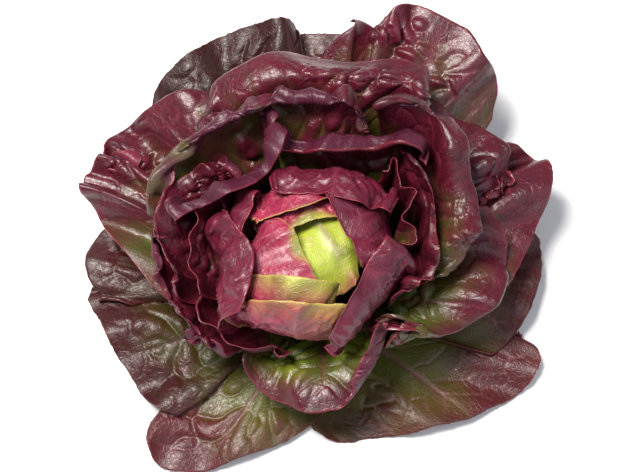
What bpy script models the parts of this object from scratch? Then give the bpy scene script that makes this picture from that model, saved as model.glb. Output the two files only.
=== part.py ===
"""A red butterhead lettuce, cut at the stem and standing on the cut.

Every leaf is one solid of its own. The outer leaves lie on the table, the middle ones
stand up and roll their margins outwards, and the inner ones close over the heart.
The origin is the middle of the cut, +Z is up and -Y is the front of the head.
Lengths in the leaf table are in millimetres and angles in degrees.
"""

import math
from typing import NamedTuple

import bmesh
import bpy
import numpy as np
from mathutils import Vector
from mathutils.bvhtree import BVHTree

MM = 0.001

STEM_RADIUS = 16.0
STEM_TIP_RADIUS = 3.5
STEM_HEIGHT = 52.0
STEM_SIDES = 20
STEM_RINGS = 6

BLADE = 0.9  # thickness of a leaf
GAP = 0.5  # least free space between two leaves
TABLE_GAP = 0.4  # least height of a leaf over the table

ROWS = 9  # cells of a leaf's solid, from root to tip
COLUMNS = 8  # and from side to side
ROOT_HALF_WIDTH = 5.0  # half of a leaf's width where it leaves the stem
HEART = (0.0, 0.0, 70.0)  # the point that the leaves are nested round
FAR = 400.0  # beyond any leaf
EASE_ROUNDS = 24
SPREAD = 1.2  # how much of a push the neighbouring points share
STEEPEST = 0.35  # a leaf edge-on to a ray counts as no steeper than this
SLACK = 0.7  # more, since the flat cells of a bent leaf cut its corners
CLEARANCE = BLADE + GAP + SLACK  # between the middle surfaces of two leaves
LOWEST = TABLE_GAP + BLADE / 2 + 0.2  # of a leaf's middle surface

ROOT_PULL = 0.42  # how far the slope at the root carries along a leaf, of its length
RIM_PULL = 0.36  # and how far the slope at the margin does
FOLD_PULL = 0.22  # how much more it does in a leaf that folds inwards
SMALL_WAVE = 0.3  # height of the small waves, of the large ones
WANDER = 0.9  # how far the waves lean to one side on their way out, in radians

UP = np.array([0.0, 0.0, 1.0])


class Leaf(NamedTuple):
    """One leaf: where it grows, where its tip and its two shoulders are, and its bends.

    A place is (side, reach, height): the direction from the stem's axis, anticlockwise
    from +X, the distance from the axis, and the height over the table.
    """

    name: str
    side: float  # the side of the stem that it grows on
    root: float  # the height that it grows at
    rise: float  # its slope there
    right: tuple  # place of its right shoulder, seen from the axis
    tip: tuple
    left: tuple
    lip: float  # slope of its margin: under 0 it hangs outwards, over 90 it folds inwards
    waves: float  # waves from shoulder to shoulder
    height: float  # of the waves, at the margin
    phase: float
    full: float = 2.0  # roundness of the outline: 1 is a pointed leaf, 3 is a square one


# Leaves are listed from the heart outwards, so that each lies outside those before it.
HEART_LEAVES = (
    Leaf("heart_leaf_core", 310, 49, 40, (222, 22, 80), (135, 20, 86), (38, 22, 82), 192, 3, 2, 2),
    Leaf("heart_leaf_middle", 130, 46, 35, (50, 24, 84), (312, 28, 85), (220, 24, 82), 190, 4, 2.5, 0.5),
    Leaf("heart_leaf_back", 95, 44, 45, (36, 26, 92), (112, 10, 97), (168, 26, 92), 185, 2, 1.5, 2),
    Leaf("heart_leaf_left", 200, 42, 35, (146, 28, 90), (192, 9, 99), (262, 22, 87), 190, 2, 2, 1),
    Leaf("heart_leaf_back_outer", 115, 40, 40, (70, 30, 97), (128, 18, 101), (160, 38, 92), 184, 2, 2, 1),
    Leaf("heart_leaf_front_inner", 235, 38, 30, (200, 37, 86), (240, 17, 95), (292, 23, 89), 168, 1.5, 1.5, 4),
    Leaf("heart_leaf_front", 255, 35, 20, (208, 43, 79), (255, 24, 93), (296, 33, 84), 160, 2, 2, 5),
)
WRAPPING_LEAVES = (
    Leaf("heart_leaf_right", 20, 37, 30, (336, 27, 93), (35, 12, 101), (86, 24, 99), 188, 2, 2, 3),
    Leaf("heart_leaf_left_small", 160, 36, 40, (140, 46, 92), (158, 37, 99), (178, 48, 90), 165, 2, 2, 2),
    Leaf("heart_leaf_left_outer", 195, 33, 35, (162, 46, 88), (187, 31, 98), (222, 38, 87), 168, 2, 2, 4),
    Leaf("heart_leaf_front_right", 325, 32, 10, (274, 41, 70), (304, 26, 93), (2, 34, 95), 172, 2, 2.5, 5),
    Leaf("inner_leaf_back", 80, 31, 45, (28, 38, 99), (78, 19, 105), (134, 40, 98), 180, 2.5, 3, 0.5),
)
INNER_LEAVES = (
    Leaf("inner_leaf_back_right", 30, 30, 60, (6, 49, 90), (33, 58, 99), (54, 45, 98), 75, 3, 4, 0.5),
    Leaf("inner_leaf_left_narrow", 178, 29, 60, (158, 60, 93), (176, 64, 90), (203, 55, 83), 60, 2, 4, 2),
    Leaf("inner_leaf_right", 8, 29, 62, (338, 52, 80), (5, 65, 88), (48, 56, 95), 10, 3, 5, 1.5),
    Leaf("inner_leaf_back_low", 76, 28, 45, (38, 61, 94), (74, 45, 102), (114, 60, 98), 186, 3, 4, 2.5),
    Leaf("inner_leaf_back_left", 135, 27, 45, (108, 66, 98), (136, 38, 100), (166, 64, 88), 188, 3, 4, 3.5),
    Leaf("inner_leaf_front_low", 222, 25, 25, (198, 57, 74), (224, 53, 72), (244, 55, 58), 95, 2.5, 3, 2),
    Leaf("inner_leaf_left", 165, 25, 58, (136, 80, 88), (158, 80, 86), (190, 64, 78), 10, 3.5, 5, 1),
    Leaf("inner_leaf_front_left", 207, 22, 35, (172, 88, 76), (197, 82, 68), (217, 58, 66), -15, 3.5, 6, 0),
    Leaf("front_leaf", 272, 24, 26, (226, 64, 48), (272, 84, 44), (319, 59, 68), -20, 2.5, 3, 3),
)
STANDING_LEAVES = (
    Leaf("back_inner_arch_leaf", 115, 20, 55, (72, 82, 98), (115, 92, 102), (162, 92, 74), -25, 3, 5, 1.2, 2.5),
    Leaf("right_arch_leaf", 28, 18, 42, (352, 70, 68), (30, 108, 90), (66, 92, 98), -30, 3, 5, 0.6, 2.5),
    Leaf("front_right_leaf", 335, 17, 28, (318, 48, 62), (345, 108, 52), (20, 108, 56), -25, 2.5, 6, 1),
    Leaf("back_arch_leaf", 90, 16, 45, (58, 112, 78), (90, 124, 98), (132, 122, 66), -30, 2, 5, 0, 2.5),
    Leaf("left_leaf", 182, 14, 32, (150, 146, 44), (161, 154, 50), (222, 76, 41), -5, 3.5, 6, 1.8, 1.3),
    Leaf("back_left_leaf", 130, 12, 30, (100, 124, 70), (134, 156, 56), (147, 150, 36), -5, 2.5, 6, 2),
    Leaf("right_upper_leaf", 42, 13, 32, (26, 126, 56), (40, 138, 60), (62, 118, 62), -10, 2, 4, 2.6),
    Leaf("right_leaf", 12, 13, 31, (352, 96, 30), (18, 146, 44), (36, 144, 42), -5, 2.5, 5, 0.4),
    Leaf("back_right_leaf", 60, 9, 28, (44, 152, 44), (63, 176, 84), (76, 144, 66), 25, 2, 5, 4, 3.0),
    Leaf("back_pointed_leaf", 80, 8, 28, (67, 134, 56), (81, 158, 82), (92, 130, 60), 30, 1.5, 3, 0.9, 1.4),
)
LOW_LEAVES = (
    Leaf("back_low_left_leaf", 117, 7, 18, (94, 158, 56), (114, 172, 58), (137, 154, 26), 20, 2.5, 4, 5),
    Leaf("back_low_leaf", 88, 6, 18, (72, 160, 44), (86, 166, 52), (101, 162, 50), 20, 2, 3, 3),
    Leaf("left_low_leaf", 173, 8, 10, (161, 134, 22), (171, 148, 18), (181, 132, 19), -5, 1.5, 3, 1),
    Leaf("front_left_side_leaf", 202, 7, 12, (179, 124, 22), (200, 130, 15), (221, 118, 8), 0, 2, 4, 2.2),
    Leaf("front_left_low_leaf", 242, 6, 10, (217, 122, 9), (238, 130, 7), (275, 68, 9), 0, 2, 3, 0),
    Leaf("right_flat_leaf", 346, 5, 7, (340, 114, 12), (2, 140, 15), (19, 134, 16), -5, 2, 3, 2),
    Leaf("front_right_low_leaf", 312, 4, 8, (267, 78, 4), (320, 123, 8), (350, 124, 8), 0, 2.5, 4, 3),
)
LEAVES = HEART_LEAVES + WRAPPING_LEAVES + INNER_LEAVES + STANDING_LEAVES + LOW_LEAVES


def outwards(side):
    """The level direction away from the stem's axis on the given side, in degrees."""
    angle = np.radians(np.asarray(side, float))
    return np.stack([np.cos(angle), np.sin(angle), np.zeros_like(angle)], axis=-1)


def place(side, reach, height):
    """The point at a side, a reach and a height."""
    return outwards(side) * reach + UP * height


def smooth(low, high, values):
    """0 below low and 1 above high, with an S curve between."""
    share = np.clip((values - low) / (high - low), 0.0, 1.0)
    return share * share * (3.0 - 2.0 * share)


def stem_radius(height):
    """The stem tapers from the cut to its tip."""
    share = np.clip(height / STEM_HEIGHT, 0.0, 1.0)
    return STEM_RADIUS + (STEM_TIP_RADIUS - STEM_RADIUS) * share**1.3


def rim_of(leaf, across):
    """The margin from the right shoulder (across -1) over the tip to the left one (1)."""
    tip = place(*leaf.tip)
    right = place(*leaf.right)
    left = place(*leaf.left)
    middle = (right + left) / 2
    quarter = np.abs(across) * np.pi / 2
    to_tip = np.cos(quarter) ** (2 / leaf.full)
    to_side = np.sin(quarter) ** (2 / leaf.full)
    shoulder = np.where((across < 0)[..., None], right, left)
    return middle + to_tip[..., None] * (tip - middle) + to_side[..., None] * (shoulder - middle)


def leaf_surface(leaf, across, along):
    """Points of a leaf's middle surface. across runs -1 to 1, along 0 at the root to 1."""
    rim = rim_of(leaf, across)
    start = stem_radius(leaf.root) + BLADE
    spread = np.degrees(ROOT_HALF_WIDTH / start)
    root = outwards(leaf.side + spread * across) * start + UP * leaf.root

    # Each line from root to rim is a Bezier curve that leaves outwards and ends on the lip.
    chord = np.linalg.norm(rim - root, axis=-1)[..., None]
    away = rim - np.asarray(place(leaf.side, start, 0.0))
    away[..., 2] = 0.0
    behind = np.minimum(away @ outwards(leaf.side), 0.0)
    away -= behind[..., None] * outwards(leaf.side)
    grow = outwards(leaf.side) * 0.6 + away / (np.linalg.norm(away, axis=-1)[..., None] + 8.0)
    grow /= np.linalg.norm(grow, axis=-1)[..., None]
    facing = outwards((leaf.side + leaf.tip[0]) / 2 if abs(leaf.side - leaf.tip[0]) < 180 else leaf.side)
    hang = facing + 1.2 * grow
    hang /= np.linalg.norm(hang, axis=-1)[..., None]
    rise = math.radians(leaf.rise)
    lip = math.radians(leaf.lip)
    first = root + ROOT_PULL * chord * (math.cos(rise) * grow + math.sin(rise) * UP)
    reach_back = RIM_PULL + FOLD_PULL * float(smooth(60, 130, leaf.lip))
    second = rim - reach_back * chord * (math.cos(lip) * hang + math.sin(lip) * UP)
    t = along[..., None]
    points = (1 - t) ** 3 * root + 3 * (1 - t) ** 2 * t * first + 3 * (1 - t) * t**2 * second + t**3 * rim

    # Waves run out to the margin and die away inwards.
    margin = np.maximum(smooth(0.3, 1.0, along), smooth(0.4, 1.0, np.abs(across)) * smooth(0.1, 0.6, along))
    wander = leaf.phase + WANDER * np.sin(4 * along + 2 * leaf.phase)
    wave = np.sin(leaf.waves * np.pi * across + wander)
    wave += SMALL_WAVE * margin * np.sin(2.3 * leaf.waves * np.pi * across + 2 * wander)
    down = np.gradient(points, axis=0)
    side = np.gradient(points, axis=1)
    normal = np.cross(side, down)
    normal /= np.linalg.norm(normal, axis=-1)[..., None] + 1e-9
    return points - (leaf.height * margin * wave)[..., None] * normal


def halving(cells):
    """Weights that turn a row of cells + 1 values into one of 2 * cells + 1 values."""
    weights = np.zeros((2 * cells + 1, cells + 1))
    for row in range(2 * cells + 1):
        weights[row, row // 2] += 0.5
        weights[row, (row + 1) // 2] += 0.5
    return weights


def finer(sheet):
    """A sheet's points and the middles of its cells and edges, as one list."""
    rows, columns = sheet.shape[0] - 1, sheet.shape[1] - 1
    return np.kron(halving(rows), halving(columns)) @ sheet.reshape(-1, 3)


def triangles(rows, columns):
    """The triangles of a sheet of rows by columns cells, facing the heart."""
    corner = np.arange((rows + 1) * (columns + 1)).reshape(rows + 1, columns + 1)
    a, b = corner[:-1, :-1].ravel(), corner[:-1, 1:].ravel()
    c, d = corner[1:, 1:].ravel(), corner[1:, :-1].ravel()
    return np.concatenate([np.stack([a, c, b], -1), np.stack([a, d, c], -1)])


def sheet_normals(points):
    """Unit normals of a sheet, towards the heart."""
    normal = np.cross(np.gradient(points, axis=0), np.gradient(points, axis=1))
    return normal / (np.linalg.norm(normal, axis=-1)[..., None] + 1e-9)


def blurred(field):
    """A sheet's values, each averaged with its neighbours."""
    padded = np.pad(field, 1, mode="edge")
    across = padded[:, :-2] + 2 * padded[:, 1:-1] + padded[:, 2:]
    return (across[:-2] + 2 * across[1:-1] + across[2:]) / 16


def tree_of(sheets):
    """A search tree over the triangles of some sheets of one size."""
    rows, columns = sheets[0].shape[0] - 1, sheets[0].shape[1] - 1
    count = (rows + 1) * (columns + 1)
    points = np.concatenate([sheet.reshape(-1, 3) for sheet in sheets])
    faces = np.concatenate([triangles(rows, columns) + count * index for index in range(len(sheets))])
    return BVHTree.FromPolygons([tuple(point) for point in points], faces.tolist())


def slant(normal, ray):
    """How much farther along a ray a gap measures than across it."""
    return 1.0 / max(abs(normal.dot(ray)), STEEPEST)


def shortfalls(sheet, inner_tree, inner_points):
    """How much farther from the heart each point of a sheet must lie to clear the inner leaves."""
    rows, columns = sheet.shape[0] - 1, sheet.shape[1] - 1
    weights = np.kron(halving(rows), halving(columns))
    middle = Vector(HEART)
    missing = np.zeros(len(weights))
    for index, sample in enumerate(weights @ sheet.reshape(-1, 3)):
        ray = (Vector(sample) - middle).normalized()
        hit, normal, _, _ = inner_tree.ray_cast(middle + ray * FAR, -ray)
        if hit is not None:
            distance = (hit - middle).length + CLEARANCE * slant(normal, ray)
            missing[index] = max(0.0, distance - (Vector(sample) - middle).length)
    short = (weights.T @ missing) / np.maximum(weights.T @ (missing > 0), 0.6)

    # The inner leaves' own points must not come through the sheet either.
    own_tree = tree_of([sheet])
    faces = triangles(rows, columns)
    for point in inner_points:
        ray = (Vector(point) - middle).normalized()
        hit, normal, index, distance = own_tree.ray_cast(middle, ray)
        if hit is not None:
            need = (Vector(point) - middle).length + CLEARANCE * slant(normal, ray) - distance
            if need > 0:
                short[faces[index]] = np.maximum(short[faces[index]], need)
    return short.reshape(sheet.shape[:2])


def eased(cage, inner):
    """A leaf's cage moved away from the heart until it clears the leaves inside it."""
    sheet = cage.copy()
    sheet[..., 2] = np.maximum(sheet[..., 2], LOWEST)
    if not inner:
        return sheet
    inner_tree = tree_of(inner)
    inner_points = np.concatenate([finer(other) for other in inner])
    for turn in range(EASE_ROUNDS):
        short = shortfalls(sheet, inner_tree, inner_points)
        if not short.any():
            break
        if turn < EASE_ROUNDS // 2:
            short = np.maximum(short, blurred(blurred(short)) * SPREAD)
        away = sheet - np.array(HEART)
        sheet += away / np.linalg.norm(away, axis=-1)[..., None] * short[..., None]
        sheet[..., 2] = np.maximum(sheet[..., 2], LOWEST)
    return sheet


def build_cages():
    """The eased cage of every leaf, from the heart outwards."""
    across, along = np.meshgrid(np.linspace(-1, 1, COLUMNS + 1), np.linspace(0, 1, ROWS + 1))
    cages = {}
    for leaf in LEAVES:
        cages[leaf.name] = eased(leaf_surface(leaf, across, along), list(cages.values()))
    return cages


def leaf_solid(name, cage):
    """One leaf: its cage given a thickness, as a closed solid."""
    rows, columns = cage.shape[0] - 1, cage.shape[1] - 1
    offset = sheet_normals(cage) * BLADE / 2
    front = ((cage + offset) * MM).reshape(-1, 3)
    back = ((cage - offset) * MM).reshape(-1, 3)
    faces = triangles(rows, columns)
    count = len(front)

    # The wall runs round the sheet's edge.
    corner = np.arange(count).reshape(rows + 1, columns + 1)
    edge = np.concatenate([corner[0, :-1], corner[:-1, -1], corner[-1, :0:-1], corner[:0:-1, 0]])
    following = np.roll(edge, -1)
    wall = [np.stack([edge, following, edge + count], -1)]
    wall.append(np.stack([following, following + count, edge + count], -1))
    every = np.concatenate([faces, faces[:, ::-1] + count] + wall)

    mesh = bpy.data.meshes.new(name)
    mesh.from_pydata(np.concatenate([front, back]).tolist(), [], every.tolist())
    mesh.shade_smooth()
    mesh.set_sharp_from_angle(angle=math.radians(50))
    return mesh


def stem_solid(name):
    """The stem: a short cone with a flat cut below and a rounded tip above."""
    mesh = bpy.data.meshes.new(name)
    shape = bmesh.new()
    heights = [STEM_HEIGHT * ring / STEM_RINGS for ring in range(STEM_RINGS + 1)]
    outline = [Vector((0.0, 0.0, 0.0))]
    outline += [Vector((float(stem_radius(height)) * MM, 0.0, height * MM)) for height in heights]
    outline += [Vector((0.0, 0.0, (STEM_HEIGHT + 1.0) * MM))]
    points = [shape.verts.new(point) for point in outline]
    edges = [shape.edges.new(pair) for pair in zip(points, points[1:])]
    bmesh.ops.spin(
        shape, geom=points + edges, cent=(0, 0, 0), axis=(0, 0, 1),
        angle=2 * math.pi, steps=STEM_SIDES, use_merge=True, use_duplicate=False,
    )
    bmesh.ops.remove_doubles(shape, verts=shape.verts, dist=0.00001)
    bmesh.ops.recalc_face_normals(shape, faces=shape.faces)
    shape.to_mesh(mesh)
    shape.free()
    mesh.shade_smooth()
    mesh.set_sharp_from_angle(angle=math.radians(40))
    return mesh


def finish(name, colour, roughness):
    """A matte or glossy plant surface."""
    material = bpy.data.materials.new(name)
    material.use_nodes = True
    shader = material.node_tree.nodes["Principled BSDF"]
    shader.inputs["Base Color"].default_value = (*colour, 1.0)
    shader.inputs["Roughness"].default_value = roughness
    shader.inputs["Metallic"].default_value = 0.0
    return material


def add_piece(name, mesh, material):
    """Put a mesh in the scene as one sub-part."""
    mesh.materials.append(material)
    piece = bpy.data.objects.new(name, mesh)
    bpy.context.scene.collection.objects.link(piece)
    return piece


def main():
    """Clear the scene and build the lettuce."""
    for thing in list(bpy.data.objects):
        bpy.data.objects.remove(thing)

    layers = (
        (HEART_LEAVES[:2], finish("yellow_green_leaf", (0.45, 0.60, 0.05), 0.45)),
        (HEART_LEAVES[2:], finish("magenta_leaf", (0.33, 0.05, 0.10), 0.40)),
        (WRAPPING_LEAVES, finish("crimson_leaf", (0.16, 0.02, 0.05), 0.40)),
        (INNER_LEAVES, finish("red_leaf", (0.12, 0.02, 0.035), 0.40)),
        (STANDING_LEAVES, finish("burgundy_leaf", (0.07, 0.015, 0.03), 0.40)),
        (LOW_LEAVES, finish("brown_green_leaf", (0.08, 0.045, 0.02), 0.50)),
    )
    cages = build_cages()
    for leaves, material in layers:
        for leaf in leaves:
            add_piece(leaf.name, leaf_solid(leaf.name, cages[leaf.name]), material)
    add_piece("stem", stem_solid("stem"), finish("cut_stem", (0.62, 0.60, 0.36), 0.60))


if __name__ == "__main__":
    main()
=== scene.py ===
"""The looks of a red butterhead lettuce: fine, blistered leaves round a closing heart.

Each leaf stands for the CAD leaf of the same name. It follows the same bends, drawn as a
fine sheet, and adds what the plain solid leaves out: blisters between sunken veins,
a ruffled and toothed margin, a thick midrib and the colours of its two faces.
Lengths in the leaf tables are in millimetres and angles in degrees.
"""

import logging
import math
from dataclasses import dataclass, field, replace
from enum import Enum
from typing import NamedTuple

import bpy
import numpy as np
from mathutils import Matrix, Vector
from mathutils.bvhtree import BVHTree

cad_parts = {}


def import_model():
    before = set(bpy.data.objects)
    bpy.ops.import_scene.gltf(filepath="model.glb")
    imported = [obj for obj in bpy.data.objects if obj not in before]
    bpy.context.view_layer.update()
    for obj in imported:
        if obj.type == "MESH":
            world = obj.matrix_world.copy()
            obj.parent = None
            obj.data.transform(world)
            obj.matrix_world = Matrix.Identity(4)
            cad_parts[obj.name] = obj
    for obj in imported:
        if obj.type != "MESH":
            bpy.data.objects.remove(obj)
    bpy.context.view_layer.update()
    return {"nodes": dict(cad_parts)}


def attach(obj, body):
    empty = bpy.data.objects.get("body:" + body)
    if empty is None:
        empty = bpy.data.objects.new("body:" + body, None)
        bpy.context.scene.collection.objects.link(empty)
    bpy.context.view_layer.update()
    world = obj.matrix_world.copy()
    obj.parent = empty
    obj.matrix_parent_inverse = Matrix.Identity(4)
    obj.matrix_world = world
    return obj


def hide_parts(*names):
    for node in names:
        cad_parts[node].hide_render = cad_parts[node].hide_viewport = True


log = logging.getLogger("lettuce")

MM = 0.001

STEM_RADIUS = 16.0
STEM_TIP_RADIUS = 3.5
STEM_HEIGHT = 52.0

ROWS = 9  # cells of a leaf's cage, from root to tip
COLUMNS = 8  # and from side to side
ROOT_HALF_WIDTH = 5.0  # half of a leaf's width where it leaves the stem
BLADE = 0.9  # thickness and gaps of the plain solids, which the cages are nested with
GAP = 0.5
SLACK = 0.7  # more, since the flat cells of a bent leaf cut its corners
CLEARANCE = BLADE + GAP + SLACK
TABLE_GAP = 0.4
LOWEST = TABLE_GAP + BLADE / 2 + 0.2  # of a plain leaf's middle surface
HEART = (0.0, 0.0, 70.0)  # the point that the leaves are nested round
FAR = 400.0  # beyond any leaf
EASE_ROUNDS = 24
SPREAD = 1.2  # how much of a push the neighbouring points share
STEEPEST = 0.35  # a leaf edge-on to a ray counts as no steeper than this

ROOT_PULL = 0.42  # how far the slope at the root carries along a leaf, of its length
RIM_PULL = 0.36  # and how far the slope at the margin does
FOLD_PULL = 0.22  # how much more it does in a leaf that folds inwards
SMALL_WAVE = 0.3  # height of the small waves, of the large ones
WANDER = 0.9  # how far the waves lean to one side on their way out, in radians

LEAF_THICKNESS = 0.5  # of the real blade
FINE_CLEARANCE = 0.5  # between two finished leaves
MOST_ROWS, MOST_COLUMNS = 130, 170  # of a fine sheet's cells
FEWEST_CELLS = 40

CROWD_WIDTH = 42.0  # width of the regions that blisters crowd in, and of the broad folds
FOLD_WIDTH = 19.0  # of the smaller folds
SMALL_BLISTER = 6.5  # width of the small blisters
CREASE_WIDTH, CREASE_LENGTH = 17.0, 26.0
MARGIN_DEPTH = 18.0  # how far inland the margin's waves reach
TOOTH_WIDTH = 2.8
LOBE_WIDTH, NOTCH_WIDTH = 38.0, 13.0
TIGHTEST_ROLL = 1.5  # radius of a rolled margin

HOLLOW_PAINTED_SHADE = 0.3  # painted shade: how far the colour goes towards its deepest in a hollow
COVERED_LEAF_SHADE = "#140a0a"  # the colour of the painted shade that a leaf which others cover fades towards
UP = np.array([0.0, 0.0, 1.0])


class Leaf(NamedTuple):
    """One leaf: where it grows, where its tip and its two shoulders are, and its bends.

    A place is (side, reach, height): the direction from the stem's axis, anticlockwise
    from +X, the distance from the axis, and the height over the table.
    """

    name: str
    side: float
    root: float
    rise: float
    right: tuple[float, float, float]
    tip: tuple[float, float, float]
    left: tuple[float, float, float]
    lip: float
    waves: float
    height: float
    phase: float
    full: float = 2.0


# Leaves are listed from the heart outwards, so that each lies outside those before it.
HEART_LEAVES = (
    Leaf("heart_leaf_core", 310, 49, 40, (222, 22, 80), (135, 20, 86), (38, 22, 82), 192, 3, 2, 2),
    Leaf("heart_leaf_middle", 130, 46, 35, (50, 24, 84), (312, 28, 85), (220, 24, 82), 190, 4, 2.5, 0.5),
    Leaf("heart_leaf_back", 95, 44, 45, (36, 26, 92), (112, 10, 97), (168, 26, 92), 185, 2, 1.5, 2),
    Leaf("heart_leaf_left", 200, 42, 35, (146, 28, 90), (192, 9, 99), (262, 22, 87), 190, 2, 2, 1),
    Leaf("heart_leaf_back_outer", 115, 40, 40, (70, 30, 97), (128, 18, 101), (160, 38, 92), 184, 2, 2, 1),
    Leaf(
        "heart_leaf_front_inner", 235, 38, 30, (200, 37, 86), (240, 17, 95), (292, 23, 89), 168, 1.5, 1.5, 4,
    ),
    Leaf("heart_leaf_front", 255, 35, 20, (208, 43, 79), (255, 24, 93), (296, 33, 84), 160, 2, 2, 5),
)
WRAPPING_LEAVES = (
    Leaf("heart_leaf_right", 20, 37, 30, (336, 27, 93), (35, 12, 101), (86, 24, 99), 188, 2, 2, 3),
    Leaf("heart_leaf_left_small", 160, 36, 40, (140, 46, 92), (158, 37, 99), (178, 48, 90), 165, 2, 2, 2),
    Leaf("heart_leaf_left_outer", 195, 33, 35, (162, 46, 88), (187, 31, 98), (222, 38, 87), 168, 2, 2, 4),
    Leaf("heart_leaf_front_right", 325, 32, 10, (274, 41, 70), (304, 26, 93), (2, 34, 95), 172, 2, 2.5, 5),
    Leaf("inner_leaf_back", 80, 31, 45, (28, 38, 99), (78, 19, 105), (134, 40, 98), 180, 2.5, 3, 0.5),
)
INNER_LEAVES = (
    Leaf("inner_leaf_back_right", 30, 30, 60, (6, 49, 90), (33, 58, 99), (54, 45, 98), 75, 3, 4, 0.5),
    Leaf("inner_leaf_left_narrow", 178, 29, 60, (158, 60, 93), (176, 64, 90), (203, 55, 83), 60, 2, 4, 2),
    Leaf("inner_leaf_right", 8, 29, 62, (338, 52, 80), (5, 65, 88), (48, 56, 95), 10, 3, 5, 1.5),
    Leaf("inner_leaf_back_low", 76, 28, 45, (38, 61, 94), (74, 45, 102), (114, 60, 98), 186, 3, 4, 2.5),
    Leaf("inner_leaf_back_left", 135, 27, 45, (108, 66, 98), (136, 38, 100), (166, 64, 88), 188, 3, 4, 3.5),
    Leaf("inner_leaf_front_low", 222, 25, 25, (198, 57, 74), (224, 53, 72), (244, 55, 58), 95, 2.5, 3, 2),
    Leaf("inner_leaf_left", 165, 25, 58, (136, 80, 88), (158, 80, 86), (190, 64, 78), 10, 3.5, 5, 1),
    Leaf("inner_leaf_front_left", 207, 22, 35, (172, 88, 76), (197, 82, 68), (217, 58, 66), -15, 3.5, 6, 0),
    Leaf("front_leaf", 272, 24, 26, (226, 64, 48), (272, 84, 44), (319, 59, 68), -20, 2.5, 3, 3),
)
STANDING_LEAVES = (
    Leaf(
        "back_inner_arch_leaf", 115, 20, 55, (72, 82, 98), (115, 92, 102), (162, 92, 74), -25, 3, 5, 1.2, 2.5,
    ),
    Leaf("right_arch_leaf", 28, 18, 42, (352, 70, 68), (30, 108, 90), (66, 92, 98), -30, 3, 5, 0.6, 2.5),
    Leaf("front_right_leaf", 335, 17, 28, (318, 48, 62), (345, 108, 52), (20, 108, 56), -25, 2.5, 6, 1),
    Leaf("back_arch_leaf", 90, 16, 45, (58, 112, 78), (90, 124, 98), (132, 122, 66), -30, 2, 5, 0, 2.5),
    Leaf("left_leaf", 182, 14, 32, (150, 146, 44), (161, 154, 50), (222, 76, 41), -5, 3.5, 6, 1.8, 1.3),
    Leaf("back_left_leaf", 130, 12, 30, (100, 124, 70), (134, 156, 56), (147, 150, 36), -5, 2.5, 6, 2),
    Leaf("right_upper_leaf", 42, 13, 32, (26, 126, 56), (40, 138, 60), (62, 118, 62), -10, 2, 4, 2.6),
    Leaf("right_leaf", 12, 13, 31, (352, 96, 30), (18, 146, 44), (36, 144, 42), -5, 2.5, 5, 0.4),
    Leaf("back_right_leaf", 60, 9, 28, (44, 152, 44), (63, 176, 84), (76, 144, 66), 25, 2, 5, 4, 3.0),
    Leaf("back_pointed_leaf", 80, 8, 28, (67, 134, 56), (81, 158, 82), (92, 130, 60), 30, 1.5, 3, 0.9, 1.4),
)
LOW_LEAVES = (
    Leaf("back_low_left_leaf", 117, 7, 18, (94, 158, 56), (114, 172, 58), (137, 154, 26), 20, 2.5, 4, 5),
    Leaf("back_low_leaf", 88, 6, 18, (72, 160, 44), (86, 166, 52), (101, 162, 50), 20, 2, 3, 3),
    Leaf("left_low_leaf", 173, 8, 10, (161, 134, 22), (171, 148, 18), (181, 132, 19), -5, 1.5, 3, 1),
    Leaf("front_left_side_leaf", 202, 7, 12, (179, 124, 22), (200, 130, 15), (221, 118, 8), 0, 2, 4, 2.2),
    Leaf("front_left_low_leaf", 242, 6, 10, (217, 122, 9), (238, 130, 7), (275, 68, 9), 0, 2, 3, 0),
    Leaf("right_flat_leaf", 346, 5, 7, (340, 114, 12), (2, 140, 15), (19, 134, 16), -5, 2, 3, 2),
    Leaf("front_right_low_leaf", 312, 4, 8, (267, 78, 4), (320, 123, 8), (350, 124, 8), 0, 2.5, 4, 3),
)


@dataclass(frozen=True)
class Habit:
    """How a leaf grows: the sizes of its surface detail, in millimetres."""

    blister: float  # height of the domes between the veins
    blister_size: float  # from one large vein to the next
    ruffle: float  # height of the margin's waves
    ruffle_length: float
    roll: float  # how much of the margin curls over, at most
    crumple: float  # height of the broad folds
    teeth: float  # depth of the margin's teeth
    green_until: float  # share of the length, from the root, that stays green
    red_from: float  # share of the length where the red is full
    cell: float  # side of the mesh's cells
    rib: float  # thickness of the midrib at the root
    wrinkle: float  # height of sharp creases
    lobes: float  # depth of the broad bays in the margin
    pale_reach: float = 0.0  # from the heart's middle to where the pale zone ends
    roll_way: float = -1.0  # 1 curls the margin towards the heart, -1 away from it
    ribbon: float = 0.0  # width of the left margin that is folded right over
    calm: float = 24.0  # how far from the margin the blisters are full
    shade: float = 0.0  # painted shade: how much darker and duller its colour is than the rest of its layer, as if it lay in the others' shadow


def smooth(low: float, high: float, values: np.ndarray) -> np.ndarray:
    """0 below low and 1 above high, with an S curve between."""
    share = np.clip((values - low) / (high - low), 0.0, 1.0)
    return share * share * (3.0 - 2.0 * share)


def scatter(x: np.ndarray, y: np.ndarray, seed: int) -> np.ndarray:
    """A fixed random number for each whole-numbered place.

    Args:
        x: Whole numbers across.
        y: Whole numbers up.
        seed: Sets the pattern.

    Returns:
        Numbers from 0 to 1.
    """
    mixed = x.astype(np.int64) * 374761393 + y.astype(np.int64) * 668265263 + seed * 974711
    mixed = (mixed ^ (mixed >> 13)) * 1274126177
    return ((mixed ^ (mixed >> 16)) & 0xFFFF) / 65535.0


def hills(x: np.ndarray, y: np.ndarray, seed: int) -> np.ndarray:
    """Smooth hills and hollows about one unit wide.

    Args:
        x: Places across.
        y: Places up.
        seed: Sets the pattern.

    Returns:
        Heights from -1 to 1.
    """
    left, low = np.floor(x), np.floor(y)
    across, up = x - left, y - low
    across = across * across * (3 - 2 * across)
    up = up * up * (3 - 2 * up)
    bottom = scatter(left, low, seed) * (1 - across) + scatter(left + 1, low, seed) * across
    top = scatter(left, low + 1, seed) * (1 - across) + scatter(left + 1, low + 1, seed) * across
    return 2.0 * (bottom * (1 - up) + top * up) - 1.0


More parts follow.
